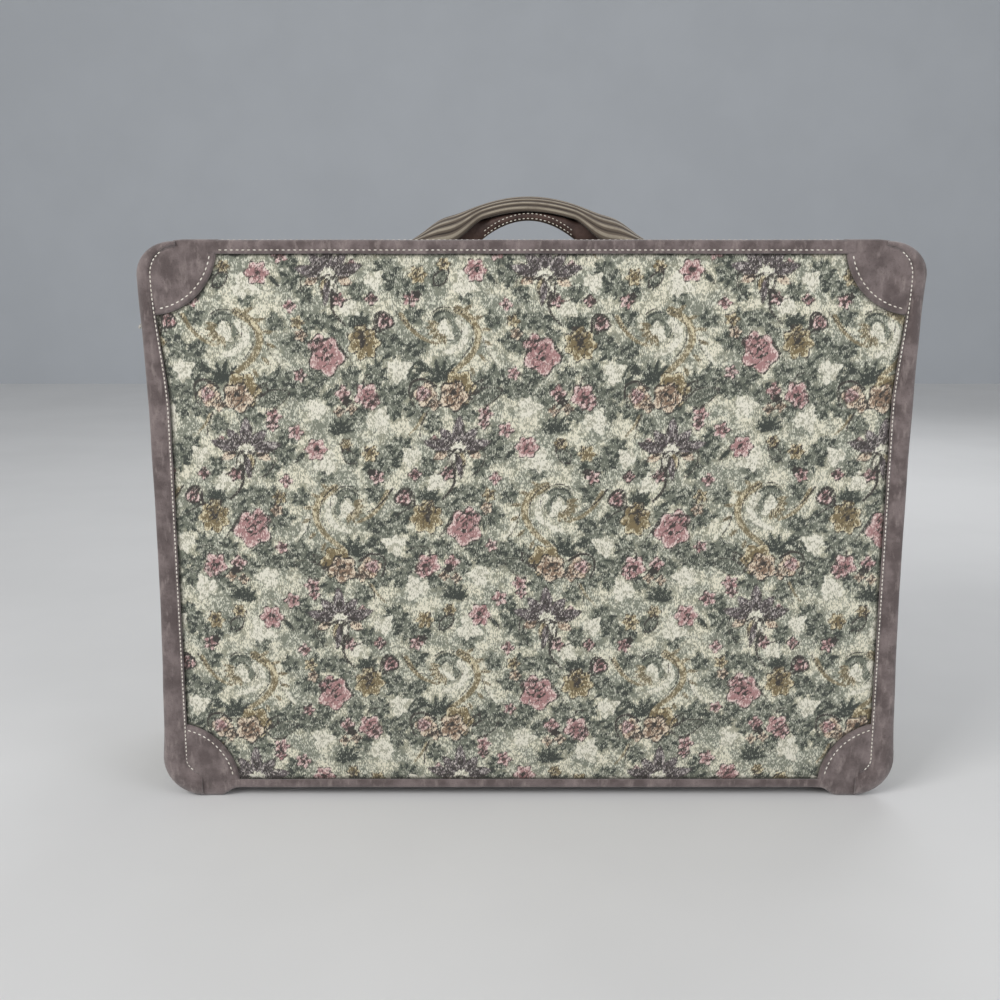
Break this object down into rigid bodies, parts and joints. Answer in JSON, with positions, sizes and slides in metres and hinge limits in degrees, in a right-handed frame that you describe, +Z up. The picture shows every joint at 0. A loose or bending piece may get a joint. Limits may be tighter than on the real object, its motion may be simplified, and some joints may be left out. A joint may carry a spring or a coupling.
{
  "type": "suitcase",
  "caption": "Soft-sided suitcase with padded floral tapestry faces, suede bindings and corner patches, a zip-round lid hinged at the bottom and a ribbed carrying handle.",
  "frame": {"origin": "on the floor, under the middle of the case", "axes": "+Z up, front face towards -Y, +X to the right seen from the front"},
  "size_m": [0.6162, 0.19, 0.4932],
  "materials": {
    "tapestry": "woven floral tapestry",
    "suede": "matt suede",
    "board": "fibreboard",
    "lining": "plain cotton",
    "webbing": "woven tape",
    "zip_teeth": "nylon coil",
    "ribbed_strap": "ribbed strap",
    "grip_leather": "smooth leather",
    "nickel": "worn nickel",
    "steel": "plain sheet"
  },
  "bodies": {
    "lid": {"front_tapestry": "tapestry", "front_board": "board", "lid_hoop": "board", "lid_skin": "tapestry", "lid_lining": "lining", "lid_pocket": "lining", "binding_front_left": "suede", "binding_front_right": "suede", "band_front_top": "suede", "band_front_bottom": "suede", "corner_front_top_left": "suede", "corner_front_top_right": "suede", "corner_front_bottom_left": "suede", "corner_front_bottom_right": "suede", "zip_tape_lid": "webbing", "zip_teeth_lid": "zip_teeth"},
    "case": {"back_tapestry": "tapestry", "back_board": "board", "body_hoop": "board", "body_skin": "tapestry", "body_lining": "lining", "binding_back_left": "suede", "binding_back_right": "suede", "band_back_top": "suede", "band_back_bottom": "suede", "corner_back_top_left": "suede", "corner_back_top_right": "suede", "corner_back_bottom_left": "suede", "corner_back_bottom_right": "suede", "zip_tape_body": "webbing", "zip_teeth_body": "zip_teeth", "zip_stops": "nickel", "hinge_strip": "suede", "handle_strap": "ribbed_strap", "handle_grip": "grip_leather", "handle_screws": "nickel", "handle_plate": "steel", "packing_strap_left": "webbing", "packing_strap_right": "webbing", "strap_buckle": "nickel"},
    "slider_lower": {"zip_slider_lower": "nickel"},
    "slider_upper": {"zip_slider_upper": "nickel"},
    "pull_lower": {"zip_pull_lower": "nickel"},
    "pull_upper": {"zip_pull_upper": "nickel"}
  },
  "joints": [
    {"name": "lid_hinge", "type": "hinge", "parent": "case", "child": "lid", "pos_m": [0, -0.069, 0.009], "axis": [1, 0, 0], "range_deg": [0, 135], "deforming": ["hinge_strip"]},
    {"name": "slider_lower_slide", "type": "slide", "parent": "case", "child": "slider_lower", "axis": [0, 0, -1], "range_m": [0, 0.31]},
    {"name": "slider_upper_slide", "type": "slide", "parent": "case", "child": "slider_upper", "axis": [0, 0, 1], "range_m": [0, 0.022]},
    {"name": "pull_lower_swing", "type": "hinge", "parent": "slider_lower", "child": "pull_lower", "pos_m": [-0.3012, -0.069, 0.367], "axis": [0, 1, 0], "range_deg": [-12, 140]},
    {"name": "pull_upper_swing", "type": "hinge", "parent": "slider_upper", "child": "pull_upper", "pos_m": [-0.3012, -0.069, 0.399], "axis": [0, 1, 0], "range_deg": [-40, 110]}
  ]
}
